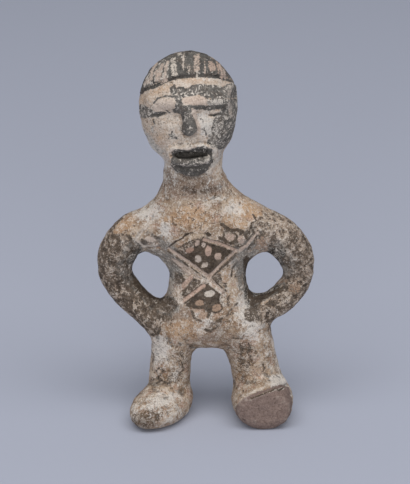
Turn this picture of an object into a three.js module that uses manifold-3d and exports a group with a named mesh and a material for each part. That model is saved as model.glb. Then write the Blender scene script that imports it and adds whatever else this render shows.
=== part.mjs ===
// A small standing figure of fired clay, hands on its hips, modelled by hand in one piece.
//
// Every mass of the figure is a pat (an egg of clay) or a coil (a rolled rod). Each is a function
// that gives the distance from a point to its surface, below zero inside. A thumb that presses one
// mass into the next is a smooth minimum of the two distances. The fused surface is then drawn as
// a net of four-sided cells, one vertex to a cell, and the soles are cut flat.
//
// Millimetres, +Z up. The figure faces -Y, and its own left arm is on the +X side.

import * as THREE from "three";
import Module from "manifold-3d";
import { mergeVertices } from "three/addons/utils/BufferGeometryUtils.js";

// The driving size: from the soles to the crown.
const height = 100;

// All places and sizes of the figure are shares of its height, in hundredths.
const share = height / 100;

// The net: how wide its cells are on the body and on the head, where the face needs finer ones,
// the levels between which they narrow, and the room round the figure that they fill.
const bodyCell = 2.06 * share;
const headCell = 1.28 * share;
const narrowFrom = 58;
const narrowTo = 68;
const roomWide = 66;
const roomDeep = 48;
const settlings = 4;

// How far a seam between two masses is smoothed: the neck into the shoulders, the masses of the
// trunk, a limb's root, a foot or a brow, a small detail and an edge that stays crisp.
const neckPress = 8;
const broadPress = 6;
const limbPress = 3;
const seamPress = 1.65;
const detailPress = 1.1;
const sharpPress = 0.5;

// The head is an egg with its wide end up, set a little towards the figure's right.
const head = { at: [-4.9, 0.4, 85], wide: 12.2, deep: 11.2, up: 13.5, down: 17.2 };

// The cap is a second skin over the crown. Its edge lies in a plane that passes the middle of the
// head at capMiddle and rises by these slopes towards the figure's left and towards its front.
const capThickness = 0.6;
const capMiddle = 90.2;
const capRiseLeft = 0.15;
const capRiseFront = 0.62;
const capSides = 44;

const neck = { from: [-3.1, 1.4, 56], to: [-4, 0.8, 74], radius: 7.5 };
const neckSpread = 0.6;

// The trunk is three pats: the chest with the shoulders, the belly and the hips.
const chest = { at: [-0.6, 0.5, 51], wide: 17.5, deep: 8.4, up: 10.8, down: 10.2 };
const belly = { at: [0.2, 0.2, 34], wide: 10.2, deep: 7.8, up: 17, down: 14.6 };
const hips = { at: [1.1, 0.3, 25.4], wide: 14.5, deep: 8, up: 8, down: 6.2 };

// The limbs are coils through stations [x, y, z, radius]. The arms run from inside the shoulder
// out to the elbow and back to the hip, the legs from the hip to the ankle.
const rightArm = [
  [-11, 0.8, 51.8, 5.4],
  [-19.4, 1.2, 50, 5.3],
  [-24.1, 1.4, 43.3, 4.9],
  [-23.8, 1.2, 36.8, 4.3],
  [-18.2, 0.2, 30, 4.1],
  [-13.4, -1, 25.4, 3.9],
];
const leftArm = [
  [10, 0.8, 52.2, 5.4],
  [18, 1.2, 49.7, 5.2],
  [23.4, 1.4, 43.6, 4.8],
  [24, 1.2, 36.8, 3.8],
  [18.8, 0.2, 30.6, 3.8],
  [12.4, -1, 28, 3.6],
];
const rightLeg = [
  [-8.4, 0.3, 24, 6.2],
  [-9.7, 0.3, 15, 5.5],
  [-10.1, 0.9, 7, 5.6],
  [-10, 1.3, 4, 5.5],
];
const leftLeg = [
  [9.6, 0.3, 24, 6.9],
  [12, 0.2, 15, 6.5],
  [13.6, 0.5, 8.5, 6.4],
  [14.2, 0.9, 4, 6.1],
];

// The figure's right foot is whole and splayed. Its left foot has lost its toes in a flat break,
// which passes through breakAt and faces breakFacing.
const rightFoot = { at: [-12.2, -5.4, 2.4], wide: 7.2, deep: 11.8, up: 6, down: 4.4, splay: -30 };
const leftFoot = { at: [14.9, -6, 4.2], wide: 8.3, deep: 12.5, up: 7, down: 6.2, splay: 3 };
const breakAt = [14.8, -13.4, 5];
const breakFacing = [0.05, -1, 0.12];

// The face, by its heights and half-widths on the egg.
const browLevel = 88.3;
const browHalfWidth = 8.6;
const browArch = 0.5;
const browSunk = 1.45;
const browRadius = 1.9;
const eyeLevel = 85.4;
const eyeSpread = 5.6;
const eyeHollow = { wide: 4.4, deep: 2, up: 2 };
const eyeProud = 1.5;
const earHalfHeight = 3.2;
const earHalfThickness = 1.4;
const earLean = 10;
const leftEarBack = 1;
const leftEarDeep = 2.2;
const rightEarBack = 3.5;
const rightEarDeep = 1.8;
const noseTop = 88.4;
const noseTip = 82.2;
const noseShift = 0.6;
const noseSunk = [0.6, 0.1, 0.1];
const noseRadii = [1.2, 1.5, 2.1];
const mouthLevel = 74.8;
const mouthHalfWidth = 4.5;
const mouthHalfHeight = 0.95;
const mouthDepth = 3.6;
const mouthShift = 0.8;
const mouthProud = 1.6;
const mouthTilt = -8;
const mouthSides = 20;
const upperLip = 1.15;
const lowerLip = 1.65;
const lipShare = 0.55;
const lowerLipProud = 0.7;
const lipSides = 12;
const chinShift = 2.3;
const chinDrop = 4;
const chinSunk = 1.5;
const chin = { wide: 4.4, deep: 3, up: 2.6, down: 2.2 };

// The soles are pressed flat by this much.
const soleCut = 1.2;

// The distance functions. A point is given by its three coordinates in millimetres.

// Math.hypot gives the same length, ten times slower.
function length(x, y, z) {
  return Math.sqrt(x * x + y * y + z * z);
}

// An egg of clay with its own half-width, half-depth and half-heights above and below its middle.
// lean tips its top back and splay turns it about the vertical, both in degrees.
function pat({ at, wide, deep, up, down = up, lean = 0, splay = 0 }) {
  const middle = new THREE.Vector3(...at).multiplyScalar(share);
  const turn = new THREE.Matrix4().makeRotationFromEuler(
    new THREE.Euler(THREE.MathUtils.degToRad(-lean), 0, THREE.MathUtils.degToRad(splay), "ZXY"),
  );
  const [xx, xy, xz, , yx, yy, yz, , zx, zy, zz] = turn.elements;
  const halfWidth = wide * share;
  const halfDepth = deep * share;
  return (x, y, z) => {
    const px = x - middle.x;
    const py = y - middle.y;
    const pz = z - middle.z;
    const u = xx * px + xy * py + xz * pz;
    const v = yx * px + yy * py + yz * pz;
    const w = zx * px + zy * py + zz * pz;
    const halfHeight = (w > 0 ? up : down) * share;
    const scaled = length(u / halfWidth, v / halfDepth, w / halfHeight);
    const slope = length(u / halfWidth ** 2, v / halfDepth ** 2, w / halfHeight ** 2);
    return slope > 0 ? (scaled * (scaled - 1)) / slope : -Math.min(halfWidth, halfDepth, halfHeight);
  };
}

// A rolled rod: its centre follows a smooth curve through the stations [x, y, z, radius], and its
// radius runs from each station's to the next.
function coil(stations, { closed = false, stepsEach = 4 } = {}) {
  const curve = new THREE.CatmullRomCurve3(
    stations.map(([x, y, z]) => new THREE.Vector3(x, y, z).multiplyScalar(share)),
    closed,
  );
  const spans = closed ? stations.length : stations.length - 1;
  const count = spans * stepsEach;
  const samples = Array.from({ length: count + 1 }, (_, i) => {
    const along = (i / count) * spans;
    const before = Math.min(Math.floor(along), spans - 1);
    const after = (before + 1) % stations.length;
    const radius = THREE.MathUtils.lerp(stations[before][3], stations[after][3], along - before);
    return { point: curve.getPoint(i / count), radius: radius * share };
  });
  const pieces = samples.slice(1).map((end, i) => {
    const start = samples[i];
    const way = end.point.clone().sub(start.point);
    return { a: start.point, way, lengthSquared: way.lengthSq(), ra: start.radius, rb: end.radius };
  });
  return (x, y, z) => {
    let nearest = Infinity;
    for (const { a, way, lengthSquared, ra, rb } of pieces) {
      const px = x - a.x;
      const py = y - a.y;
      const pz = z - a.z;
      const t = Math.min(1, Math.max(0, (px * way.x + py * way.y + pz * way.z) / lengthSquared));
      const d = length(px - t * way.x, py - t * way.y, pz - t * way.z) - (ra + t * (rb - ra));
      if (d < nearest) nearest = d;
    }
    return nearest;
  };
}

// The side of a plane through a point, facing along a direction: above zero in front of it.
function plane(through, facing) {
  const normal = new THREE.Vector3(...facing).normalize();
  const offset = normal.dot(new THREE.Vector3(...through).multiplyScalar(share));
  return (x, y, z) => normal.x * x + normal.y * y + normal.z * z - offset;
}

// Two masses pressed into one, with the seam between them rounded over the width press.
function pressed(a, b, press) {
  const width = press * share;
  return (x, y, z) => {
    const da = a(x, y, z);
    const db = b(x, y, z);
    const near = Math.max(width - Math.abs(da - db), 0) / width;
    return Math.min(da, db) - (near * near * width) / 4;
  };
}

// A mass with another one taken out of it, and the edge rounded over the width press.
function hollowed(a, b, press) {
  const inverse = pressed((x, y, z) => -a(x, y, z), b, press);
  return (x, y, z) => -inverse(x, y, z);
}

// The point on the front of the egg of the head, at a distance aside from its middle line and at
// a level. proud lifts it off the surface, or sinks it if below zero.
function onFace(aside, level, proud = 0) {
  const halfHeight = level > head.at[2] ? head.up : head.down;
  const out = 1 - (aside / head.wide) ** 2 - ((level - head.at[2]) / halfHeight) ** 2;
  return [head.at[0] + aside, head.at[1] - head.deep * Math.sqrt(Math.max(out, 0)) - proud, level];
}

function faceStation(aside, level, proud, radius) {
  return [...onFace(aside, level, proud), radius];
}

// The parts of the figure.

// The ears are low ridges, half sunk in the sides of the head. side is 1 for the figure's left.
function ear(side, backwards, deep) {
  return pat({
    at: [head.at[0] + side * (head.wide - earHalfThickness / 2), head.at[1] + backwards, eyeLevel],
    wide: earHalfThickness,
    deep,
    up: earHalfHeight,
    lean: earLean,
  });
}

// Both brows are one coil, half sunk over the eyes.
function brow() {
  const arch = [-1, -0.5, 0, 0.5, 1].map((t) => {
    const lift = browArch * Math.sin(Math.PI * Math.abs(t));
    return faceStation(t * browHalfWidth, browLevel + lift, -browSunk, browRadius);
  });
  return coil(arch);
}

// A wedge, narrow between the eyes and broad at its tip.
function nose() {
  const levels = [noseTop, (noseTop + noseTip) / 2, noseTip];
  return coil(levels.map((z, n) => faceStation(noseShift, z, -noseSunk[n], noseRadii[n])));
}

function eye(side) {
  return pat({ at: onFace(side * eyeSpread, eyeLevel, eyeProud), ...eyeHollow });
}

// A ring of clay round the mouth, thin above it and full below.
function lips() {
  const ring = Array.from({ length: lipSides }, (_, i) => {
    const angle = (i / lipSides) * 2 * Math.PI;
    const below = (1 - Math.sin(angle)) / 2;
    const radius = THREE.MathUtils.lerp(upperLip, lowerLip, below);
    const aside = mouthShift + (mouthHalfWidth + lipShare * radius) * Math.cos(angle);
    const level = mouthLevel + (mouthHalfHeight + lipShare * radius) * Math.sin(angle);
    return faceStation(aside, level, lowerLipProud * below, radius);
  });
  return coil(ring, { closed: true, stepsEach: 2 });
}

// The left foot, up to its break.
function brokenFoot() {
  const breakFace = plane(breakAt, breakFacing);
  return hollowed(pat(leftFoot), (x, y, z) => -breakFace(x, y, z), sharpPress);
}

// The whole figure as one distance function.
function figure() {
  const chinPat = pat({ at: onFace(chinShift, mouthLevel - chinDrop, -chinSunk), ...chin });
  let face = pressed(pat(head), brow(), seamPress);
  for (const side of [-1, 1]) face = hollowed(face, eye(side), detailPress);
  face = pressed(face, nose(), detailPress);
  face = pressed(face, chinPat, seamPress);
  face = pressed(face, lips(), sharpPress);
  face = pressed(face, ear(1, leftEarBack, leftEarDeep), detailPress);
  face = pressed(face, ear(-1, rightEarBack, rightEarDeep), detailPress);

  const neckColumn = coil([
    [...neck.from, neck.radius + neckSpread],
    [...neck.to, neck.radius],
  ]);
  const trunk = pressed(pressed(pat(chest), pat(belly), broadPress), pat(hips), broadPress);
  let body = pressed(trunk, neckColumn, neckPress);
  for (const leg of [rightLeg, leftLeg]) body = pressed(body, coil(leg), limbPress);
  for (const foot of [pat(rightFoot), brokenFoot()]) body = pressed(body, foot, seamPress);
  for (const arm of [rightArm, leftArm]) body = pressed(body, coil(arm), limbPress);

  return pressed(body, face, detailPress);
}

// The net over the surface.

// A lattice of points round the figure. Its cells are bodyCell wide up to the neck and narrow to
// headCell on the head, and its columns lean with the neck to stay round the head.
function lattice() {
  const margin = 3 * bodyCell;
  const low = -margin;
  const high = (head.at[2] + head.up) * share + margin;
  const narrowing = (z) => THREE.MathUtils.smoothstep(z, narrowFrom * share, narrowTo * share);
  const cellAt = (z) => THREE.MathUtils.lerp(bodyCell, headCell, narrowing(z));
  const levels = [low];
  while (levels.at(-1) < high) levels.push(levels.at(-1) + cellAt(levels.at(-1)));
  const across = Math.ceil((roomWide * share) / bodyCell);
  const deep = Math.ceil((roomDeep * share) / bodyCell);
  const point = (i, j, k, target) => {
    const cell = cellAt(levels[k]);
    const middle = head.at[0] * share * narrowing(levels[k]);
    return target.set(middle + (i - across / 2) * cell, (j - deep / 2) * cell, levels[k]);
  };
  return { counts: [across + 1, deep + 1, levels.length], point };
}

// Moves a point on to the surface, along the direction in which the distance grows fastest.
function dropOnSurface(distance, p, steps = 3) {
  const step = 0.01 * share;
  const slope = new THREE.Vector3();
  for (let n = 0; n < steps; n += 1) {
    const d = distance(p.x, p.y, p.z);
    slope.set(
      distance(p.x + step, p.y, p.z) - d,
      distance(p.x, p.y + step, p.z) - d,
      distance(p.x, p.y, p.z + step) - d,
    );
    slope.divideScalar(step);
    p.addScaledVector(slope, -d / Math.max(slope.lengthSq(), 0.25));
  }
}

const cornerOffsets = [0, 1, 2, 3, 4, 5, 6, 7].map((n) => [n & 1, (n >> 1) & 1, n >> 2]);
const cellEdges = cornerOffsets.flatMap((_, a) =>
  [1, 2, 4].filter((bit) => !(a & bit)).map((bit) => [a, a | bit]),
);

// For each pattern of corners inside the figure, whether the corners of a cell fall into one group
// inside and one outside, each joined along the cell's edges. Any other cell pinches the surface.
const soundPatterns = Array.from({ length: 2 ** cornerOffsets.length }, (_, inside) => {
  const group = cornerOffsets.map((_, n) => n);
  for (const _ of cornerOffsets)
    for (const [a, b] of cellEdges)
      if (((inside >> a) & 1) === ((inside >> b) & 1))
        group[a] = group[b] = Math.min(group[a], group[b]);
  return new Set(group).size <= 2;
});

// Fills the notches that are finer than a cell: in a cell that pinches the surface, the outer
// corner that is nearest to the clay is taken as clay.
function fillPinches(values, index, [nx, ny, nz]) {
  let filled = true;
  while (filled) {
    filled = false;
    for (let k = 0; k < nz - 1; k += 1)
      for (let j = 0; j < ny - 1; j += 1)
        for (let i = 0; i < nx - 1; i += 1) {
          const corners = cornerOffsets.map(([di, dj, dk]) => index(i + di, j + dj, k + dk));
          const pattern = corners.reduce((sum, at, n) => sum | ((values[at] < 0) << n), 0);
          if (soundPatterns[pattern]) continue;
          const outer = corners.filter((at) => values[at] >= 0);
          const nearest = outer.reduce((best, at) => (values[at] < values[best] ? at : best));
          values[nearest] = -Math.max(values[nearest], Number.EPSILON);
          filled = true;
        }
  }
}

// One vertex for each cell that the surface passes through, and one quad for each lattice edge.
function surfaceNet(distance) {
  const { counts, point } = lattice();
  const [nx, ny, nz] = counts;
  const index = (i, j, k) => i + nx * (j + ny * k);
  const corner = new THREE.Vector3();
  const values = new Float64Array(nx * ny * nz);
  for (let k = 0; k < nz; k += 1)
    for (let j = 0; j < ny; j += 1)
      for (let i = 0; i < nx; i += 1) {
        point(i, j, k, corner);
        values[index(i, j, k)] = distance(corner.x, corner.y, corner.z);
      }
  fillPinches(values, index, counts);

  const vertices = [];
  const vertexOf = new Map();
  for (let k = 0; k < nz - 1; k += 1)
    for (let j = 0; j < ny - 1; j += 1)
      for (let i = 0; i < nx - 1; i += 1) {
        const sum = new THREE.Vector3();
        let crossings = 0;
        for (const [a, b] of cellEdges) {
          const [ai, aj, ak] = cornerOffsets[a];
          const [bi, bj, bk] = cornerOffsets[b];
          const da = values[index(i + ai, j + aj, k + ak)];
          const db = values[index(i + bi, j + bj, k + bk)];
          if (da < 0 === db < 0) continue;
          const start = point(i + ai, j + aj, k + ak, new THREE.Vector3());
          sum.add(start.lerp(point(i + bi, j + bj, k + bk, corner), da / (da - db)));
          crossings += 1;
        }
        if (!crossings) continue;
        vertexOf.set(index(i, j, k), vertices.length);
        vertices.push(sum.divideScalar(crossings));
      }

  const quads = [];
  const addQuad = (inside, cells) => {
    const quad = cells.map(([i, j, k]) => vertexOf.get(index(i, j, k)));
    quads.push(inside ? quad : quad.reverse());
  };
  for (let k = 1; k < nz - 1; k += 1)
    for (let j = 1; j < ny - 1; j += 1)
      for (let i = 1; i < nx - 1; i += 1) {
        const inside = values[index(i, j, k)] < 0;
        if (inside !== values[index(i + 1, j, k)] < 0)
          addQuad(inside, [[i, j - 1, k - 1], [i, j, k - 1], [i, j, k], [i, j - 1, k]]);
        if (inside !== values[index(i, j + 1, k)] < 0)
          addQuad(inside, [[i - 1, j, k - 1], [i - 1, j, k], [i, j, k], [i, j, k - 1]]);
        if (inside !== values[index(i, j, k + 1)] < 0)
          addQuad(inside, [[i - 1, j - 1, k], [i, j - 1, k], [i, j, k], [i - 1, j, k]]);
      }
  return { vertices, quads };
}

// Evens the net out: each vertex moves to the middle of its neighbours and back on the surface.
function settle(distance, { vertices, quads }) {
  for (const vertex of vertices) dropOnSurface(distance, vertex);
  for (let pass = 0; pass < settlings; pass += 1) {
    const sums = vertices.map(() => new THREE.Vector3());
    const counts = new Array(vertices.length).fill(0);
    for (const quad of quads)
      quad.forEach((a, n) => {
        sums[a].add(vertices[quad[(n + 1) % 4]]);
        counts[a] += 1;
      });
    vertices.forEach((vertex, n) => {
      vertex.lerp(sums[n].divideScalar(counts[n]), 0.5);
      dropOnSurface(distance, vertex, 2);
    });
  }
}

// The quads as triangles, each split along its shorter diagonal, unless another quad has it.
function netGeometry({ vertices, quads }) {
  const taken = new Set();
  const edge = (p, q) => Math.min(p, q) * vertices.length + Math.max(p, q);
  const indices = quads.flatMap(([a, b, c, d]) => {
    const shorter = vertices[a].distanceTo(vertices[c]) < vertices[b].distanceTo(vertices[d]);
    const across = taken.has(edge(b, d)) || (shorter && !taken.has(edge(a, c)));
    taken.add(across ? edge(a, c) : edge(b, d));
    return across ? [a, b, c, a, c, d] : [a, b, d, b, c, d];
  });
  return new THREE.BufferGeometry().setFromPoints(vertices).setIndex(indices);
}

// Fitting the cap, and cutting the soles and the mouth.

const wasm = await Module();
wasm.setup();

function solidFrom(geometry) {
  const bare = geometry.clone();
  bare.deleteAttribute("normal");
  bare.deleteAttribute("uv");
  const merged = mergeVertices(bare, 1e-5);
  return new wasm.Manifold(
    new wasm.Mesh({
      numProp: 3,
      vertProperties: new Float32Array(merged.attributes.position.array),
      triVerts: new Uint32Array(merged.index.array),
    }),
  );
}

function geometryFrom(solid) {
  const { vertProperties, triVerts } = solid.getMesh();
  const geometry = new THREE.BufferGeometry();
  geometry.setAttribute("position", new THREE.BufferAttribute(vertProperties, 3));
  geometry.setIndex(new THREE.BufferAttribute(triVerts, 1));
  return geometry;
}

// A box that fills everything behind a plane through a point, up to the reach of the figure.
function behindPlane(through, facing) {
  const wide = 2 * height;
  const box = new THREE.BoxGeometry(wide, wide, wide);
  box.translate(0, 0, -wide / 2);
  const turn = new THREE.Quaternion().setFromUnitVectors(
    new THREE.Vector3(0, 0, 1),
    new THREE.Vector3(...facing).normalize(),
  );
  box.applyQuaternion(turn);
  return box.translate(...through);
}

// The cap: the egg of the head, grown by its thickness, above the plane of its edge.
function cap() {
  const egg = new THREE.SphereGeometry(1, capSides, capSides / 2);
  egg.rotateX(Math.PI / 2);
  const place = egg.attributes.position;
  const grown = (size) => (size + capThickness) * share;
  for (let n = 0; n < place.count; n += 1) {
    const halfHeight = place.getZ(n) > 0 ? head.up : head.down;
    place.setXYZ(
      n,
      place.getX(n) * grown(head.wide),
      place.getY(n) * grown(head.deep),
      place.getZ(n) * grown(halfHeight),
    );
  }
  const [x, y, z] = head.at.map((coordinate) => coordinate * share);
  egg.translate(x, y, z);
  const edge = behindPlane([x, y, capMiddle * share], [-capRiseLeft, capRiseFront, 1]);
  return solidFrom(egg).subtract(solidFrom(edge));
}

// The hollow of the mouth: a flat lens, pushed in with the end of a stick.
function mouthHollow() {
  const lens = new THREE.SphereGeometry(1, mouthSides, mouthSides / 2);
  lens.rotateX(Math.PI / 2);
  lens.scale(mouthHalfWidth * share, mouthDepth * share, mouthHalfHeight * share);
  lens.rotateX(THREE.MathUtils.degToRad(mouthTilt));
  const middle = onFace(mouthShift, mouthLevel, mouthProud).map((place) => place * share);
  return lens.translate(...middle);
}

// The figure, standing on z = 0 with the middle of its outline on the origin.
function statuette() {
  const distance = figure();
  const net = surfaceNet(distance);
  settle(distance, net);
  const body = netGeometry(net);
  body.computeBoundingBox();
  const soleLevel = body.boundingBox.min.z + soleCut * share;
  const cut = solidFrom(body)
    .add(cap())
    .subtract(solidFrom(behindPlane([0, 0, soleLevel], [0, 0, 1])))
    .subtract(solidFrom(mouthHollow()));
  const geometry = geometryFrom(cut);
  geometry.computeBoundingBox();
  const { min, max } = geometry.boundingBox;
  geometry.translate(-(min.x + max.x) / 2, -(min.y + max.y) / 2, -min.z);
  geometry.computeVertexNormals();
  const clay = new THREE.MeshStandardMaterial({ color: "#ab9880", roughness: 0.85, metalness: 0 });
  const mesh = new THREE.Mesh(geometry, clay);
  mesh.name = "statuette";
  return mesh;
}

const group = new THREE.Group();
group.add(statuette());

export default group;
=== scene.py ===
# %% [markdown]
# # A hand-modelled clay statuette
# The real object is a small standing figure of fired clay, coated with pale slip and painted in dark
# earth colours that have since flaked and worn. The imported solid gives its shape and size. Here it
# gets a finer skin, the marks of the hand and the tool, its paint and its age.

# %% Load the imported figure
import bpy
import bmesh
import numpy as np
from mathutils import Matrix, Vector


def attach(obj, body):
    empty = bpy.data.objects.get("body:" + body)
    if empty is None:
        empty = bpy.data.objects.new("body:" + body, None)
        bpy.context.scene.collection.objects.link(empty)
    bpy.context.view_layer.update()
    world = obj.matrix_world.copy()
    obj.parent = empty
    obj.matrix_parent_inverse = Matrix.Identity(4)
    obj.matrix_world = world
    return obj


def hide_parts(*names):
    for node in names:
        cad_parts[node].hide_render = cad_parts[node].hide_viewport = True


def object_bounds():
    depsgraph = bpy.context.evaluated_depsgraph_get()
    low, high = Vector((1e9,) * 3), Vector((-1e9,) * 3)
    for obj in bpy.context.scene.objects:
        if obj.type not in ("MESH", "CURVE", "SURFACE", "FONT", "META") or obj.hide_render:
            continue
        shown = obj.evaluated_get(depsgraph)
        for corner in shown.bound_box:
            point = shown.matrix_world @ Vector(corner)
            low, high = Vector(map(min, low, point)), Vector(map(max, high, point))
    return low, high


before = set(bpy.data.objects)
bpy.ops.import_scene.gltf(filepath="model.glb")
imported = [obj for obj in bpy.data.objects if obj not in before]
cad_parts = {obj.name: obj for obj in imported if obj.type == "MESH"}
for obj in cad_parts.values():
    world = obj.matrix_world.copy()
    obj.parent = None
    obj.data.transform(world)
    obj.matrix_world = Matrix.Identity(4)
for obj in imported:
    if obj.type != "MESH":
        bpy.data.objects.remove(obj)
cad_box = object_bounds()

MM = 0.001
print("the solid is", [round((b - a) / MM, 1) for a, b in zip(*cad_box)], "mm wide, deep and tall")

# %% [markdown]
# ## The direction of sight
# The paint has to fall on the figure where a viewer in front of it sees it. So one line of sight is
# settled first, and used twice: for the camera, and to lay marks on the clay as with a stencil. The
# viewer looks down at 20 degrees from about half a metre, which is how small objects are shown.

# %% Place the camera
SIGHT_DOWN = np.radians(20.0)
SIGHT_DISTANCE = 520.0
SIGHT_MIDDLE = np.array([0.0, 0.0, 50.0])
TO_VIEWER = np.array([0.0, -np.cos(SIGHT_DOWN), np.sin(SIGHT_DOWN)])
SHEET_UP = np.array([0.0, np.sin(SIGHT_DOWN), np.cos(SIGHT_DOWN)])
SHEET_RIGHT = np.array([1.0, 0.0, 0.0])
PICTURE_WIDE, PICTURE_HIGH = 410, 484
PIXELS_PER_MM = 3.8
MIDDLE_PIXEL = np.array([206.07, 239.22])
SENSOR_MM = 36.0


def place_camera():
    """The camera stands on the line of sight, moved in its own plane until the middle pixel fits."""
    aside = (PICTURE_WIDE / 2 - MIDDLE_PIXEL[0]) / PIXELS_PER_MM
    raised = (MIDDLE_PIXEL[1] - PICTURE_HIGH / 2) / PIXELS_PER_MM
    stand = SIGHT_MIDDLE + TO_VIEWER * SIGHT_DISTANCE + SHEET_RIGHT * aside + SHEET_UP * raised
    data = bpy.data.cameras.new("camera")
    data.sensor_width = SENSOR_MM
    data.lens = PIXELS_PER_MM * SIGHT_DISTANCE / PICTURE_HIGH * SENSOR_MM
    data.clip_start, data.clip_end = 0.01, 20.0
    camera = bpy.data.objects.new("camera", data)
    bpy.context.scene.collection.objects.link(camera)
    axes = np.column_stack([SHEET_RIGHT, SHEET_UP, TO_VIEWER])
    camera.matrix_world = Matrix.Translation(Vector(stand * MM)) @ Matrix(axes.tolist()).to_4x4()
    bpy.context.scene.camera = camera
    print("lens", round(data.lens, 1), "mm at", np.round(stand, 1), "mm")


place_camera()

# %% [markdown]
# ## A finer skin
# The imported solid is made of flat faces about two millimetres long, which is too coarse for a thumb
# print or a scratch. Subdivision would keep those flats. Instead the copy is cast again on a lattice
# of small cubes (a voxel remesh), which gives even faces everywhere, also where limbs meet.

# %% Cast the skin on a fine lattice
SKIN_CELL = 0.5
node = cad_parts["statuette"]


def fine_copy(source, name, cell):
    """A copy of the solid, its doubled corners merged, then remeshed with cubes of that size in mm."""
    mesh = source.data.copy()
    piece = bpy.data.objects.new(name, mesh)
    bpy.context.scene.collection.objects.link(piece)
    clay = bmesh.new()
    clay.from_mesh(mesh)
    bmesh.ops.remove_doubles(clay, verts=clay.verts, dist=0.001 * MM)
    clay.to_mesh(mesh)
    clay.free()
    remesh = piece.modifiers.new("fine", "REMESH")
    remesh.mode = "VOXEL"
    remesh.voxel_size = cell * MM
    shown = piece.evaluated_get(bpy.context.evaluated_depsgraph_get())
    fine = bpy.data.meshes.new_from_object(shown)
    bpy.data.objects.remove(piece)
    fine.calc_loop_triangles()
    points = np.empty(len(fine.vertices) * 3, np.float32)
    fine.vertices.foreach_get("co", points)
    triangles = np.empty(len(fine.loop_triangles) * 3, np.int32)
    fine.loop_triangles.foreach_get("vertices", triangles)
    bpy.data.meshes.remove(fine)
    return points.reshape(-1, 3).astype(float) / MM, triangles.reshape(-1, 3)


points, triangles = fine_copy(node, "cast", SKIN_CELL)
print(len(points), "points and", len(triangles), "triangles on the first skin")

# %% [markdown]
# ## Wet hands
# The maker smoothed the wet clay with the fingers. Smoothing moves each point towards the middle of
# its neighbours. That alone would shrink the figure, so each step is followed by a slightly larger
# step back (Taubin's way): facets go, the bulk stays. Crisp places take less of it.

# %% Smooth the facets away
CAP_EDGE_FACING = np.array([-0.15, 0.62, 1.0])
CAP_EDGE_FACING /= np.linalg.norm(CAP_EDGE_FACING)
CAP_EDGE_AT = np.array([-4.8, 2.35, 91.15])
MOUTH_MIDDLE = np.array([-3.9, -8.2, 75.3])
SOLE_KEPT = 1.0


def edges_of(triangles):
    """Every edge once, as pairs of point numbers."""
    pairs = np.vstack([triangles[:, [0, 1]], triangles[:, [1, 2]], triangles[:, [2, 0]]])
    return np.unique(np.sort(pairs, axis=1), axis=0)


def toward_neighbours(points, edges):
    """From each point to the middle of its neighbours."""
    ends = np.concatenate([edges[:, 0], edges[:, 1]])
    others = np.concatenate([edges[:, 1], edges[:, 0]])
    count = np.maximum(np.bincount(ends, minlength=len(points)), 1)
    total = [np.bincount(ends, points[others, k], len(points)) for k in range(3)]
    return np.column_stack(total) / count[:, None] - points


def smoothed(points, edges, rounds, ease, step=0.55, back=0.57):
    """Taubin smoothing: a step in, then a slightly larger step out, scaled by ease at each point."""
    for _ in range(rounds):
        points = points + toward_neighbours(points, edges) * (step * ease)[:, None]
        points = points - toward_neighbours(points, edges) * (back * ease)[:, None]
    return points


def rise(values, low, high):
    """0 below low, 1 above high, and a smooth S between."""
    share = np.clip((values - low) / (high - low), 0, 1)
    return share * share * (3 - 2 * share)


def softness(points):
    """How far each point may be smoothed: little at the mouth, the cap's edge and the soles."""
    mouth = rise(np.linalg.norm(points - MOUTH_MIDDLE, axis=1), 5, 9)
    above_edge = (points - CAP_EDGE_AT) @ CAP_EDGE_FACING
    edge = rise(np.abs(above_edge - 0.2), 0.6, 2.0)
    near_head = rise(points[:, 2], 84, 88)
    edge = 1 - near_head * (1 - edge)
    sole = rise(points[:, 2], 0.2, SOLE_KEPT)
    return np.minimum(np.minimum(0.25 + 0.75 * mouth, 0.3 + 0.7 * edge), sole)


edges = edges_of(triangles)
points = smoothed(points, edges, 16, softness(points))
print("smoothed", len(edges), "edges")

# %% [markdown]
# ## More points where more is drawn
# The face and the chest carry painted and cut detail, so their triangles are split in four, down to
# a quarter of a millimetre. Edges whose two ends are both chosen are halved, so no gap opens at the
# border.

# %% Split the triangles of the face and the chest


def finer(points, triangles, chosen):
    """Halves each edge with both ends chosen. A triangle becomes four, or two at the border."""
    edges = edges_of(triangles)
    split = edges[chosen[edges].all(axis=1)]
    key = split[:, 0].astype(np.int64) * len(points) + split[:, 1]
    order = np.argsort(key)
    key = key[order]

    def middle(a, b):
        """The number of the new point on each edge a-b, or -1 where the edge isn't split."""
        wanted = np.minimum(a, b).astype(np.int64) * len(points) + np.maximum(a, b)
        place = np.clip(np.searchsorted(key, wanted), 0, len(key) - 1)
        return np.where(key[place] == wanted, len(points) + order[place], -1)

    a, b, c = triangles.T
    ab, bc, ca = middle(a, b), middle(b, c), middle(c, a)
    halves = (ab >= 0).astype(int) + (bc >= 0) + (ca >= 0)
    whole = triangles[halves == 0]
    full = halves == 3
    quarters = [
        np.column_stack([a, ab, ca])[full],
        np.column_stack([b, bc, ab])[full],
        np.column_stack([c, ca, bc])[full],
        np.column_stack([ab, bc, ca])[full],
    ]
    pairs = []
    for first, second, third, cut in ((a, b, c, ab), (b, c, a, bc), (c, a, b, ca)):
        one = (halves == 1) & (cut >= 0)
        pairs.append(np.column_stack([first, cut, third])[one])
        pairs.append(np.column_stack([cut, second, third])[one])
    added = (points[split[:, 0]] + points[split[:, 1]]) / 2
    return np.vstack([points, added]), np.vstack([whole, *quarters, *pairs])


def detailed(points):
    """True on the front of the head and on the front of the trunk, where the drawing is."""
    face = (points[:, 2] > 66) & (points[:, 1] < 4)
    trunk = (points[:, 2] > 30) & (points[:, 2] < 60) & (points[:, 1] < -0.5)
    trunk &= (points[:, 0] > -13) & (points[:, 0] < 15)
    return face | trunk


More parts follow.
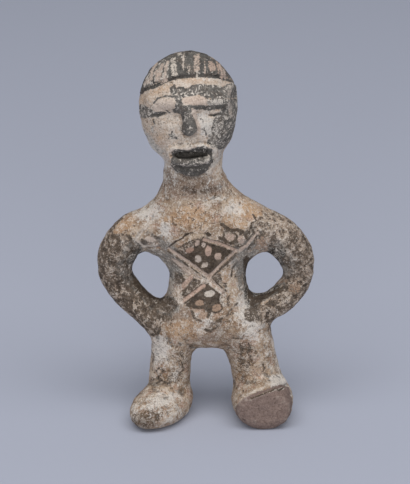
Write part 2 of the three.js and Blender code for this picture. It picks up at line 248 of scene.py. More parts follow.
points, triangles = finer(points, triangles, detailed(points))
edges = edges_of(triangles)
points = smoothed(points, edges, 2, softness(points) * detailed(points))
print(len(points), "points and", len(triangles), "triangles on the finished skin")

# %% [markdown]
# ## The sheet in front of the figure
# Each mark is drawn with a few points on the picture's own sheet, written x,y with 3.8 pixels to
# the millimetre, and is carried along the line of sight to the clay. Only clay that the viewer can
# see takes it. A mark is kept as a signed distance in millimetres, positive inside, so that its edge
# stays sharp between the points of the mesh and can be made ragged by the material.

# %% Carry the sheet onto the clay
SIGHT_CELL = 2.5
SIGHT_SLACK = 1.6


def normals_of(points, triangles):
    """The outward direction at each point: the sum of its triangles' normals, made one long."""
    corners = points[triangles]
    face = np.cross(corners[:, 1] - corners[:, 0], corners[:, 2] - corners[:, 0])
    total = [
        sum(np.bincount(triangles[:, j], face[:, k], len(points)) for j in range(3)) for k in range(3)
    ]
    total = np.column_stack(total)
    return total / np.maximum(np.linalg.norm(total, axis=1), 1e-12)[:, None]


def on_sheet(points):
    """The sheet pixel that each point is seen at, and how far it lies from the viewer in mm."""
    offset = points - SIGHT_MIDDLE
    away = SIGHT_DISTANCE - offset @ TO_VIEWER
    right = offset @ SHEET_RIGHT / away * SIGHT_DISTANCE
    up = offset @ SHEET_UP / away * SIGHT_DISTANCE
    pixel = np.column_stack([right, -up]) * PIXELS_PER_MM + MIDDLE_PIXEL
    return pixel, away


def seen_share(points, normals):
    """1 on clay that faces the viewer with nothing before it, 0 on clay that is turned or hidden."""
    pixel, away = on_sheet(points)
    cell = np.floor(pixel / SIGHT_CELL).astype(int)
    cell += 1 - np.floor(pixel.min(0) / SIGHT_CELL).astype(int)
    nearest = np.full(cell.max(0) + 2, np.inf)
    np.minimum.at(nearest, (cell[:, 0], cell[:, 1]), away)
    open_to = away < nearest[cell[:, 0], cell[:, 1]] + SIGHT_SLACK * 1.6
    return rise(normals @ TO_VIEWER, 0.02, 0.2) * open_to


normals = normals_of(points, triangles)
pixel, away = on_sheet(points)
seen = seen_share(points, normals)

# %% Draw with strokes, patches and dots
OUTSIDE = -9.0
SIDE_FADE = 1.5
LATTICE, LATTICE_START = 32, 100


def sheet(places):
    """Sheet points, written as x,y pairs with a space between them, as an array."""
    return np.array([place.split(",") for place in places.split()], float)


def distance_to(line):
    """The distance in mm from each point's pixel to a line of sheet points."""
    nearest = np.full(len(pixel), np.inf)
    for start, end in zip(line[:-1], line[1:]):
        along = end - start
        share = np.clip((pixel - start) @ along / (along @ along), 0, 1)
        gap = pixel - start - share[:, None] * along
        nearest = np.minimum(nearest, np.hypot(gap[:, 0], gap[:, 1]))
    return nearest / PIXELS_PER_MM


def stroke(line, width):
    """A brush or tool line of that width in mm: half the width less the distance to the line."""
    return width / 2 - distance_to(sheet(line))


def patch(corners):
    """A closed area: the distance to its edge, positive inside by the even-odd crossing rule."""
    ring = sheet(corners)
    ring = np.vstack([ring, ring[:1]])
    inside = np.zeros(len(pixel), bool)
    for (x0, y0), (x1, y1) in zip(ring[:-1], ring[1:]):
        if y0 != y1:
            crosses = (y0 > pixel[:, 1]) != (y1 > pixel[:, 1])
            inside ^= crosses & (pixel[:, 0] < (x1 - x0) * (pixel[:, 1] - y0) / (y1 - y0) + x0)
    return np.where(inside, 1, -1) * distance_to(ring)


def dot(x, y, wide, high, lean=0.0):
    """An oval blot, its size in pixels and its lean in degrees: nearly the distance to its edge."""
    turn = np.radians(lean)
    across = ((pixel[:, 0] - x) * np.cos(turn) - (pixel[:, 1] - y) * np.sin(turn)) / (wide / 2)
    down = ((pixel[:, 0] - x) * np.sin(turn) + (pixel[:, 1] - y) * np.cos(turn)) / (high / 2)
    return (1 - np.hypot(across, down)) * min(wide, high) / 2 / PIXELS_PER_MM


def percent(chosen):
    """How many of the points are chosen, in percent."""
    return round(100 * float(chosen.mean()), 1)


def any_of(*marks):
    """Several marks as one: the largest distance."""
    return np.max(marks, axis=0)


def only_seen(mark):
    """Keeps a mark to the clay that the viewer sees, and fades it out where the clay turns away."""
    return np.where(seen > 0, mark, OUTSIDE) - (1 - seen) * SIDE_FADE


def unevenness(points, size, seed):
    """Smooth random heights from -1 to 1 on a lattice of that spacing in mm, blended by S-curves."""
    grid = np.random.default_rng(seed).uniform(-1, 1, (LATTICE,) * 3)
    place = points / size + LATTICE_START
    low = np.floor(place).astype(int)
    share = place - low
    share = share * share * (3 - 2 * share)
    total = 0
    for corner in np.ndindex(2, 2, 2):
        weight = np.prod(np.where(corner, share, 1 - share), axis=1)
        i, j, k = ((low + corner) % LATTICE).T
        total = total + weight * grid[i, j, k]
    return total


print("marks are drawn at", PIXELS_PER_MM, "pixels to the millimetre")
print("the viewer sees", percent(seen > 0.5), "% of the points")

# %% [markdown]
# ## The tool's marks
# A pointed stick cut the crossed bands on the chest and the slits of the eyes while the clay was
# leather-hard. A cut is a groove with a low burr beside it. These are true relief, because a grazing
# light shows at once when a line is only painted.

# %% List the cut lines
# Each row is a line, its width and its depth in mm
CUT_LINES = [
    ("168,249 188,262.5 209,277", 0.85, 0.42),
    ("237,250.5 223,263.5 209,277", 0.85, 0.42),
    ("205,284 194,292.5 182,301", 1.0, 0.3),
    ("209.5,279.5 216,285.5 223.5,292.5", 0.8, 0.26),
    ("173,259 186,267.5 199,279", 0.55, 0.25),
    ("204,240 219,243.5 235.5,250", 0.8, 0.26),
    ("169,247 175,242 182,238.8 186,234.5 192,233", 0.5, 0.25),
    ("148,226 141,233 136,241 140,245.5 148,247.5 160,247", 0.6, 0.25),
    ("249,247.5 254,241 257.5,235.5", 0.5, 0.25),
    ("201.5,203 210,199.6 219,196.2", 0.45, 0.18),
    ("198,66 198,77", 0.35, 0.12),
]
FOLDS = [
    ("154,115.2 159,115 165,113.6", 0.8, 0.34),
    ("209.5,115.4 214,115.2 218.5,113.8", 0.7, 0.36),
    ("193,143.4 199,142.2 207,142.8 210,144", 0.55, 0.28),
    ("179.8,116 180.6,124 180,131 184.5,137 190,138.6 196,136.4 199.4,130.5", 0.9, 0.3),
    ("199.4,130.5 197.5,122 193.5,115", 0.9, 0.28),
    ("170,168.5 176,173.4 184,176.6 192,178.4 200,177.4 206,173 210,168", 0.9, 0.34),
    ("153,391 164,395 174,395.5 181,393", 2.4, 0.3),
    ("249,398 257,393 268,388.4 279,385.6 289,384.4", 1.0, 0.55),
    ("172.5,155.6 180,155 189,154.6 197,152.8 204,152.6 211,154", 2.1, 1.0),
    ("177.5,166.6 187,168 196,167.4 204,164.4", 1.1, 0.4),
]
# Each row is a line, its width and its height in mm
SWELLINGS = [
    ("174,161.2 184,162.6 194,163 203,161.6 209,157.6", 1.0, 0.5),
    ("175,150 181,149.4 188,150.8 194,148 203,147.2 208,148.4", 0.7, 0.16),
    ("187,146.4 198,145.2 208,146.2", 0.9, 0.28),
    ("185.8,108 187.6,119 190,131", 1.2, 0.45),
    ("156,106.4 165,103.8 173,103.4", 1.5, 0.32),
    ("190,101.4 206,101.8 224,101.6", 1.2, 0.26),
    ("207,111.4 213,110.8 220,111.6", 0.9, 0.24),
    ("152,121 160,128 166,138", 2.6, 0.22),
    ("276,382 286,380.4", 1.4, 0.3),
]
# Each row is a place on the sheet, its reach and its height in mm
PRESSES = [
    (231.5, 87, 1.5, 0.75),
    (238.5, 97, 2.2, -0.2),
    (237, 124, 4.5, 0.55),
    (229, 143, 3.6, 0.5),
    (139, 103, 4.0, 0.3),
    (142, 124, 4.0, 0.35),
    (140, 92, 1.6, -0.3),
    (163, 157, 3.2, -0.4),
]


def groove(gap, width, depth):
    """A bell-shaped hollow along a line, with a low ridge of pushed-up clay on both sides."""
    hollow = np.exp(-((gap / (width * 0.45)) ** 2))
    burr = np.exp(-(((gap - width * 0.85) / (width * 0.35)) ** 2))
    return depth * (0.16 * burr - hollow)


def ridge(gap, width, height):
    """A bell-shaped swelling along a line."""
    return height * np.exp(-((gap / width) ** 2))


relief = sum(groove(distance_to(sheet(line)), wide, deep) for line, wide, deep in CUT_LINES + FOLDS)
relief = (relief + sum(ridge(distance_to(sheet(line)), wide, high) for line, wide, high in SWELLINGS)) * seen
for x, y, reach, height in PRESSES:
    spot = np.array([x, y])
    relief += ridge(np.linalg.norm(pixel - spot, axis=1) / PIXELS_PER_MM, reach, height)
print(len(CUT_LINES), "cut lines and", len(FOLDS), "folds, at most", round(-relief.min(), 2), "mm deep")

# %% [markdown]
# ## The hand's marks
# Rolled and pinched clay is never even. Three sizes of gentle swell stand for the fingers, the
# drying and the weathered slip, and small pits for grit and lime that fell out in the fire. The
# broken toe shows the coarse body of the clay, so it is grainier.

# %% Add swells, pits and the rough break
BREAK_FACE = ("236,406 245,397.5 257,391.5 269,387 282,384 290,386 295.5,400 298,420 284,432 262,434 "
    "243,431 233,420")
CRACK = "250,399 257,396.4 264,393.6 271,391 275,388.6 279,390.4 283,388"
broken = np.minimum(only_seen(patch(BREAK_FACE)), -stroke(CRACK, 0.5))
bare = rise(broken, -0.3, 0.4)
face_front = rise(points[:, 2], 68, 72) * rise(-points[:, 1], -1, 3)
calm = 1 - 0.6 * face_front
swell = 0.24 * unevenness(points, 7.5, 1) + 0.15 * unevenness(points, 3.4, 2)
swell += 0.15 * unevenness(points, 1.8, 3) + 0.1 * unevenness(points, 1.0, 4)
pits = rise(unevenness(points, 1.1, 5), 0.6, 0.9) * rise(unevenness(points, 6, 6), -0.1, 0.5)
grains = 0.06 * unevenness(points, 2.2, 7) + 0.09 * unevenness(points, 1.1, 8)
cap_rise = (points - CAP_EDGE_AT) @ CAP_EDGE_FACING
on_head = rise(points[:, 2], 80, 84) * (1 - 0.85 * (1 - rise(normals @ TO_VIEWER, 0.1, 0.6)))
under_cap = -0.32 * np.exp(-(((cap_rise + 0.25) / 0.45) ** 2)) * on_head
relief = relief + (swell - 0.22 * pits) * calm + grains * bare + under_cap
relief *= rise(points[:, 2], 0.15, 1.2)
points = points + normals * relief[:, None]
low, high = (np.array(corner) / MM for corner in cad_box)
points = np.clip(points, low, high)
normals = normals_of(points, triangles)
print("relief from", round(relief.min(), 2), "to", round(relief.max(), 2), "mm")

# %% [markdown]
# ## What lies in the hollows, and painted shade
# Earth stays in hollows, where painted shade also darkens them, and the paint wears off what stands
# proud, which is also lightened with a painted highlight. Both follow from one number: how far the
# skin lies below a much smoother copy of itself.

# %% Measure hollows and ridges


def below(points, rounds):
    """How far each point lies under a copy smoothed that many times: positive in a hollow."""
    smooth = points
    for _ in range(rounds):
        smooth = smooth + toward_neighbours(smooth, edges) * 0.6
    return np.sum((smooth - points) * normals, axis=1)


def local_mean(values, rounds):
    """A measure spread over its neighbourhood, so that it can be taken off to leave what is local."""
    column = np.column_stack([values] * 3)
    for _ in range(rounds):
        column = column + toward_neighbours(column, edges) * 0.8
    return column[:, 0]


hollow = below(points, 5) * 3 + below(points, 24)
hollow = (hollow - local_mean(hollow, 60)) * (1 - 0.7 * bare)
print("hollows reach", round(float(np.percentile(hollow, 99)), 2), "mm")

# %% [markdown]
# ## The paint of the head
# The hair or cap is laid in dark paint with fine pale stripes left in the slip, a band crosses the
# brow, and the nose, the eyes, the mouth and one cheek are painted. Each area is a short list of
# points. "Worn" says how much of the paint has flaked off inside it, from 0 to 1.

# %% Lay out the paint of the head
paint = np.full(len(points), OUTSIDE)
worn = np.zeros(len(points))


def lay(mark, wear, afresh=False):
    """Adds a painted area. Its wear holds where it lies innermost, or all over it when laid afresh."""
    global paint, worn
    worn = np.where(mark > (0 if afresh else paint), wear, worn)
    paint = np.maximum(paint, mark)


AFRESH = True
LINE_WIDTH = 0.34
CHEEK_CURLS = [
    "200.6,118.6 203.4,120 202.6,123",
    "205,121 206.6,124.6 204.6,128",
    "202,129 206,130.6 206,135",
    "207.6,117.6 209.4,121 208.6,124",
]
MOUTH = ("170,154 174,149.8 181,149 188,150.4 194,147.6 204,146.6 211.6,149.4 214,155 212,162 "
    "208.4,170 203,174.6 197.4,177 190,176.8 183,174.8 176,171.4 171,166")
# Each row is a mark, how worn its paint is, and perhaps that it is laid afresh
HEAD_MARKS = [
    (patch("143,88 146,78 153,67 164,59 170,62 168,77 156,83"), 0.42, AFRESH),
    # The edge of the cap: a dark painted rim, also a painted shadow under the cap's step
    (stroke("140,94 144,90 156,86 167,80.5 176,77.6 185,76.6 196,75.4 206.5,75.4 219,76.6 225,79 "
     "231,82", 1.0), 0.16, AFRESH),
    (stroke("143,82 152,68 163,58 178,52 194,52 206,55", 0.7), 0.25, AFRESH),
    # The band across the forehead
    (patch("177,90 184,89 191,87.4 194,84.6 204,84 214,85 222,86.6 232,82.8 240,96 237,98 228,98.4 "
     "206,99 203,96.6 197,95 184,97.6 178,99"), 0.42),
    (patch("207,90 215,88 222,89 222,96 211,97"), 0.3, AFRESH),
    (patch("170,87 174,84.6 176.6,88 177,93 173,95.4 170.4,93"), 0.36),
    (stroke("177,88.6 182,88 186.6,90 190,88 193,85.4", 0.5), 0.2),
    (stroke("154.5,103 158,98.4 167,96 174,96.8", 0.4), 0.25),
    (patch("174,95.6 181.6,96 182,103 183.6,109 178,112 174.6,108 176,102"), 0.36),
    # The brows
    (patch("189,104.6 206,105 222,103.6 230,99 230,106 222,109 206,110 192,109.4"), 0.3),
    (patch("138,104 146,105 151,108 156,111.4 152,116 146,118 140,116"), 0.46),
    (patch("149,113.4 155,112 163.5,111 168,113 163,115.4 158,117 152.5,117"), 0.3),
    (stroke("166,109.5 170,112.5", 0.4), 0.2),
    # The nose
    (patch("172.5,109 180,105.5 191.5,106 191.5,114 195,118.8 198,125.7 197.6,130.4 193.7,134.4 "
     "188.1,137.2 184.8,135.8 181,132 180.6,127 183.2,121 179.6,114 174,113"), 0.33),
    (stroke("210.5,115.2 214,115.4 218,114", 0.5), 0.0),
    # The painted cheek and the skin beside it
    (patch("217,112 224,107 226,99 237,98 243,110 242,124 234,140 226,149 215,149 208,144 214,138 "
     "213,128 216.5,121") + 0.3 * unevenness(points, 1.8, 16), 0.41),
    (patch("212,122 219,113 221,124 219,138 213,148 206,145"), 0.485, AFRESH),
    (patch("204,116 212,119 213,136 207,134 203,125"), 0.82),
    *((stroke(line, LINE_WIDTH), 0.3) for line in CHEEK_CURLS),
    (stroke("168.6,138.4 171.6,135 172,131.4", 0.35), 0.25),
    (stroke("169.4,134.6 173.4,136 176.4,138.6", 0.35), 0.25),
    (dot(172.4, 136, 6, 6), 0.55),
    # The next two patches are painted shade along the jaw on both sides, laid as worn paint.
    (patch("143,126 149,133 156,143 164,152 160,156 150,148 143,138"), 0.58),
    (patch("213,149 224,147 221,158 215,167 210,168"), 0.64),
    (dot(155, 122.6, 2.4, 4.5, 20), 0.4),
    (dot(153.2, 129, 2.6, 6), 0.5),
]
cap = np.minimum(cap_rise, (points[:, 2] - 84) / 2)
lay(cap, 0.23)
for mark, *how in HEAD_MARKS:
    lay(only_seen(mark), *how)
mouth_paint = np.where((points[:, 1] < 0) & (points[:, 2] > 66), patch(MOUTH), OUTSIDE)
lay(mouth_paint, 0.29)
lower_lip = only_seen(stroke("176,161.4 186,162.6 196,162 204,160 208,157.4", 1.4))
lay(lower_lip, 0.33, AFRESH)
lay(only_seen(patch("206,99 222,98.6 228,100 224,104.6 207,105.2")), 0.53, AFRESH)
print("the head's paint covers", percent(paint[points[:, 2] > 68] > 0), "% of it")

# %% [markdown]
# ## The paint of the body
# Two painted lozenges with light dots hang one above the other on the chest, between the cut bands,
# with a small scroll beside them. On the arms and legs the paint is a thin brown that has broken up
# into specks, so these areas are wide, soft and very worn, and they run round to the back.

# %% Lay out the paint of the body
BAND_OUTLINES = [
    "168,251.6 187,265.2 206.4,279",
    "175,249.6 190,260.4 209,274",
    "172,257 186,268 197,277.6",
    "174,262.6 185,271 195,280",
    "238.4,253 225,265.6 212,278",
    "212,278 218,284 226,291",
    "208,283.6 196,294.6 184.6,303.4",
    "201.4,284.6 190,293.4 181,299",
    "203,238.6 219,241.4 237,248",
]
SCROLL_CURLS = [
    ("222.6,224.6 225,227 229.6,230 237,229.4 244.6,233 250.4,231.6", 0.95),
    ("220,238 225,240.4 230,243 236,241.4 240.4,238", 0.8),
    ("245.6,235 248,240 246.6,245 241.6,247.6 235.6,247", 0.95),
    ("224,232 223.4,236.4 225,239.6", 0.5),
    ("235.6,233.6 237,237 236,241", 0.45),
]
BODY_MARKS = [
    # The upper lozenge
    (patch("177,251.4 185,245.4 191,241.4 198,239.6 204,242 213,243.6 233,250.8 209,275 196,266 "
     "186,258.6"), 0.17),
    (patch("172,251 184,243.6 193,240.6 195,247 187,254 179,255"), 0.46, AFRESH),
    # The lower lozenge and the strokes under it
    (patch("207,283.6 214,288.6 220,294 219,301 222,305 221,310.6 215,313 209,312 203,309.6 194,309 "
     "185.6,305.5 195,295"), 0.22),
    (stroke("192,311 194,317 197.5,320 201,321", 0.6), 0.3),
    (stroke("207.4,309 209,313 207.8,316.6", 0.9), 0.25),
    (stroke("220.8,304.6 222,308.4 219.6,311.4 215.4,312.8", 0.5), 0.25),
    (stroke("237,303 231,310 226.6,317", 0.5), 0.5),
    (patch("213.4,318.8 218,319.4 223.4,316.6 222,322 216,322.6"), 0.3),
    (stroke("206,329.4 210,331.6 213,329 217.4,326", 0.7), 0.3),
    (patch("174,271 181,273 185.5,279 183,284 176,283"), 0.4),
    (patch("191,277.5 201,281 198,288 188,295 181,297 181,291 188,286"), 0.42),
    *((stroke(line, LINE_WIDTH), 0.1, AFRESH) for line in BAND_OUTLINES),
    (stroke("172.5,262 184,270 196,281", 0.4), 0.35),
    (patch("211.6,277.4 216,271.6 221,274 222.6,284.6 216.4,281.6"), 0.43),
    (stroke("236.4,262 232.6,268 231.6,276", 0.45), 0.3),
    (stroke("239,268 235.6,273 235,277", 0.35), 0.35),
    (stroke("223.6,283 226.4,283.6 226,286.4 223.4,286", 0.35), 0.35),
    (stroke("229,296 227,301 228.6,306", 0.35), 0.4),
    (stroke("236,254 224,265.6 213,276.5", 0.7), 0.22),
    (stroke("169,247 175,242 182,238.8 186,234.5 192,233", 0.4), 0.1),
    (stroke("189,241.5 196,239.4 203,239.6 214,242.4 231,250", 0.3), 0.25),
    (dot(208.4, 234.4, 6, 4.4, -30), 0.15),
    # The scroll
    (patch("222,226 228,229 238,229 248,230.4 252,233.4 247.5,236 248,241 244,247 237,247 232,243.6 "
     "224,242.5 219.5,239.5 222,236 226,234"), 0.52),
    *((stroke(line, width), 0.25, AFRESH) for line, width in SCROLL_CURLS),
    (dot(222, 224.6, 5, 4), 0.2),
    (patch("140.4,238.4 144,240.2 147.4,243.6 145,245.4 141.2,243.4"), 0.28),
    (stroke("152,235 156,237.4 159,238.2", 0.6), 0.35),
    (stroke("253,215 256.6,221 262,224.6", 0.5), 0.25),
    (stroke("247.6,249.6 253.4,244 257.4,238.4 260,234.6", 0.55), 0.25, AFRESH),
    (stroke("245,243 249.4,237.6 254,231.4", 0.45), 0.25, AFRESH),
]
for mark, *how in BODY_MARKS:
    lay(only_seen(mark), *how)
print(len(BODY_MARKS), "painted marks on the chest and belly")

# %% Lay out the paint of the limbs and the back
LEFT_ARM = ("92,240 110,230 126,237 136,246 129,262 134,282 146,296 166,308 170,320 156,334 140,330 "
    "116,306 94,280")
RIGHT_ARM = ("262,210 284,208 308,226 330,256 328,288 304,318 274,332 246,320 244,308 262,304 284,288 "
    "290,272 282,254 262,244 252,232")
breakup = 1.6 * unevenness(points, 4, 15) + 0.8 * unevenness(points, 1.8, 16)
lay(patch(LEFT_ARM) + breakup, 0.46)
lay(patch(RIGHT_ARM) + breakup, 0.49)
# Painted shade: dark strokes along the inner walls of the arm loops.
PAINTED_WALL_SHADE = [
    ("246.4,258 247.6,278 251,296", 1.5),
    ("253,299.4 266,296 281,290", 1.3),
    ("132.6,276 141,287 152,296.4 164,298.4", 1.3),
]
LEG_CURLS = [
    ("180,352 183.4,358 182,364 184,370 179,374", 0.5),
    ("156.6,371 160,367.4 164,370 161,374 157.4,378", 0.45),
    ("165.6,373 169,370 171.6,374 168,378.6", 0.4),
    ("157,383 162,380 167,384 172,381.6", 0.4),
    ("151,350 154,356 152.6,362", 0.4),
    ("239.6,345 243,349 240.4,354 243.6,359", 0.5),
    ("248,343 250.6,348 247.6,353 251,357", 0.45),
    ("255,350 258,355 254.6,361", 0.4),
    ("243.6,363 248,366 245,371.6", 0.4),
    ("262,362 264.6,368 262,374", 0.4),
]
LIMB_MARKS = [
    (stroke("130,205 148,197 160,190", 1.0), 0.6),
    (stroke("110,232 117,221 127,211 140,204.6", 1.3), 0.42),
    (patch("262,211 282,214 297,230 284,240 264,232"), 0.57, AFRESH),
    (patch("128,284 142,290 160,304 158,322 140,320 122,300"), 0.38, AFRESH),
    *((stroke(line, width), 0.12, AFRESH) for line, width in PAINTED_WALL_SHADE),
    # Painted shade at the bottom of each arm loop: the next two patches.
    (patch("250,300 264,298 259,308 256,320 250,322"), 0.3, AFRESH),
    (patch("160,299 177,296 179,305 171,314 160,309"), 0.4, AFRESH),
    *((stroke(line, width), 0.38) for line, width in LEG_CURLS),
    (stroke(CRACK, 0.55), 0.0, AFRESH),
]
for mark, *how in LIMB_MARKS:
    lay(only_seen(mark), *how)
back_patch = unevenness(points, 9, 11) * 2.5 + 0.2
from_ear = np.hypot((points[:, 1] - 1.5) / 6.5, (points[:, 2] - 84) / 9.5)
beside_cheek = np.where((points[:, 0] > 2) & (cap_rise < 0.6), (1 - from_ear) * 6 + breakup, OUTSIDE)
lay(beside_cheek + OUTSIDE * (seen > 0.6), 0.5)
on_back = np.where((normals[:, 1] > 0.1) & (points[:, 2] < 88), back_patch, OUTSIDE)
lay(on_back, 0.5)
specks = any_of(
    np.minimum((40 - points[:, 2]) / 10, 0.42),
    rise(dot(246, 357, 26, 44), -1, 2),
    0.8 * rise(dot(180, 360, 24, 44), -1, 2),
    rise(dot(172, 378, 34, 20), -1, 2),
    1.2 * rise(only_seen(dot(144, 420, 38, 20, 15)), -1, 1),
    0.85 * rise(only_seen(dot(214, 324, 26, 18)), -1, 2),
    0.6 * rise(only_seen(dot(196, 335, 50, 18)), -1, 2),
    0.62 * rise(only_seen(dot(196, 222, 70, 40)), -2, 2),
    0.55 * rise(dot(140, 308, 60, 36, 30), -2, 2),
    0.7 * rise(dot(284, 300, 50, 40, -30), -2, 2),
    0.5 * rise(only_seen(dot(160, 127, 26, 30)), -2, 2),
    0.35 + 0.35 * unevenness(points, 5, 17),
)
print("paint covers", percent(paint > 0), "% of the figure")

# %% [markdown]
# ## Light marks on the dark paint
# The dots, the cut bands and the stripes of the cap are where the pale slip shows. Some are pink or
# ochre rather than cream, and "warmth" tells them apart.

# %% Lay out the light marks
light = np.full(len(points), OUTSIDE)
warmth = np.zeros(len(points))
frayed = np.zeros(len(points))


def lighten(mark, warm, fray=0.0):
    """Adds a light mark. Its warmth, and how frayed it is, hold where it is the innermost one."""
    global light, warmth, frayed
    mark = only_seen(mark)
    warmth = np.where(mark > light, warm, warmth)
    frayed = np.where(mark > light, fray, frayed)
    light = np.maximum(light, mark)


FRAYED_PATCHES = [
    ("155,81 155.6,72 160,65 163.4,64 161.6,74 159.6,81.4", 0.45),
    ("170.6,59.6 175.4,58 176,68 177.4,75.6 172.4,76.4 171,68", 0.0),
    ("193.8,54.6 199.6,54.4 199.4,64 198.6,70.6 195,71 194,62", 0.4),
    ("208.8,61 212.6,60 215.8,64 215.4,70.6 211,71.6 208.8,68", 0.6),
    ("144.6,85.6 146,79.6 150,77.6 150.6,83", 0.3),
    ("160,84 163,77 167,77.5 168.5,81.6", 0.3),
    ("177,53 181,51.6 182,56 178,57", 0.0),
    ("186.4,67 190,66.4 190.6,71.6 187,72.8", 0.2),
]
FRAYED_STREAKS = [
    ("164.6,80 165.4,70 168,62", 0.6, 0.3),
    ("219.4,64.6 221,71 222.6,78", 0.65, 0.55),
    ("217,61.6 218,67 218.8,73", 0.4, 0.7),
    ("223.4,70.6 225.4,79", 0.5, 0.4),
    ("204.4,57 205,66 205,73", 0.3, 0.4),
    ("184,54 183,62 183.4,70", 0.35, 0.1),
    ("151.4,80 153,70 157,63.6", 0.5, 0.4),
]
lighten(dot(197.8, 259.3, 6.8, 7.2, 20), 0.15, 0.15)
lighten(dot(204.6, 265.2, 7.6, 5.2, 35), 0.2, 0.25)
lighten(dot(208.4, 251.2, 6.8, 9.8), 0.75, 0.2)
lighten(dot(218.2, 256.6, 7.2, 6.6, 40), 0.6, 0.2)
lighten(dot(203.6, 245.6, 3.6, 4), 0.3, 0.5)
lighten(dot(196.8, 243.2, 6.8, 5.4, 50), 0.5, 0.4)
lighten(dot(190.4, 249.6, 8.4, 5.6, 30), 1.0, 0.4)
lighten(dot(209.8, 293.6, 10.6, 6.6, 8), 0.0)
lighten(dot(199.8, 302.8, 9, 6, 5), 1.8, 0.1)
lighten(np.minimum(dot(216.8, 307.6, 9, 7.4, 20), 0.2), 1.8, 0.3)
lighten(np.minimum(dot(198.4, 310.8, 10, 3.6), 0.05), 1.7, 0.5)
lighten(np.minimum(dot(203, 315.6, 9, 7, 30), 0.1), 1.8, 0.5)
lighten(np.minimum(dot(217.4, 315.6, 10, 5, 15), 0.1), 1.7, 0.5)
lighten(patch("288,293 290,286 295,283 300.6,284.6 299,291 294,295"), 2.0, 1.0)
lighten(patch("255,249 258.6,240 264,236.6 269.6,240 267,246 260,249"), 1.7, 1.0)
lighten(patch("144,238.4 149,236 157,240.6 150,242.2"), 0.3, 0.5)
lighten(dot(230.2, 237.2, 9.4, 7.2, -10), 0.6, 0.6)
lighten(dot(241, 239.8, 7, 7.4, -20), 0.55, 0.65)
lighten(stroke("151,221 140,234.5 136,240 143.6,247 156,246", 0.55), 0.1)
lighten(stroke("240,250 247,245 252,239 257.6,233", 0.8), 0.45, 0.3)
lighten(stroke("168,249 188,262.5 209,277", 0.6), 0.45, 0.2)
lighten(stroke("237,250.5 223,263.5 208,278.5", 0.7), 0.45, 0.2)
lighten(stroke("203.6,286 194,292.5 183,301", 0.9), 0.75, 0.2)
lighten(patch("176,288 181,290 184,300 183,307 178,304"), 0.1, 0.8)
lighten(stroke("170.6,279 173.4,289 177,300", 0.5), 0.0, 0.75)
lighten(stroke("209.5,279.5 216,285.5 223.5,292.5", 0.5), 0.45, 0.3)
lighten(stroke("173,259 186,267.5 199,279", 0.45), 0.4)
lighten(stroke("204,240 219,243.5 235.5,250", 0.75), 0.65)
lighten(stroke("191,277 183.5,286", 1.1), 0.75)
lighten(stroke("171,259 181,267 190,275", 0.6), 0.4, 0.6)
for corners, warm in FRAYED_PATCHES:
    lighten(patch(corners), warm, 0.75)
for line, width, warm in FRAYED_STREAKS:
    lighten(stroke(line, width), warm, 0.5)
lighten(patch("227.4,86 230,87 230.6,95 228,96"), 0.2, 0.9)
lighten(patch("227.6,102 230.6,103 231.4,117 228.4,119"), 0.2, 0.9)
lighten(stroke("197,69 197.2,77.6", 0.4), 0.0)
# Painted highlights: pale glints on the glossy lower lip.
lighten(stroke("201,162.6 205,160 208,156.4", 0.6), 0.0, 0.92)
lighten(stroke("201.4,165.2 206,162", 0.4), 0.0, 0.9)
lighten(stroke("181,163.4 188,164.2", 0.3), 0.0, 0.9)
lighten(patch("181.6,101 185,97.6 197,96.4 204,97 207.4,100.4 205,104.4 195,105 185,103.6"), 0.4, 0.3)
lighten(patch("154.6,105 159,99.8 171,98.4 174.6,101.4 173.6,106.6 168.2,109 162,110.6 155.4,111.2"),
    0.25, 0.3)
lighten(patch("191.4,108.4 196,110 197.5,119 201,126 200.5,134 198,131 196,121 192.5,115"), 0.3)
CAP_STRIPES = [(-13.5, -11.0), (-9.3, -7.5), (-3.3, -1.4), (0.8, 2.6), (3.8, 5.2)]
wander = points[:, 0] + 0.5 * unevenness(points, 2.4, 18) + 0.5 * unevenness(points, 7, 19)
across = np.max([np.minimum(wander - a, b - wander) for a, b in CAP_STRIPES], axis=0)
across = np.minimum(across, 1.1 + 1.6 * unevenness(points, 5, 20))
behind = np.minimum(across, cap_rise - 1.0) + OUTSIDE * (seen > 0.5)
warmth = np.where(behind > light, 0.3, warmth)
frayed = np.where(behind > light, 0.8, frayed)
light = np.maximum(light, behind)
print("light marks cover", percent(light > 0), "% of the figure")
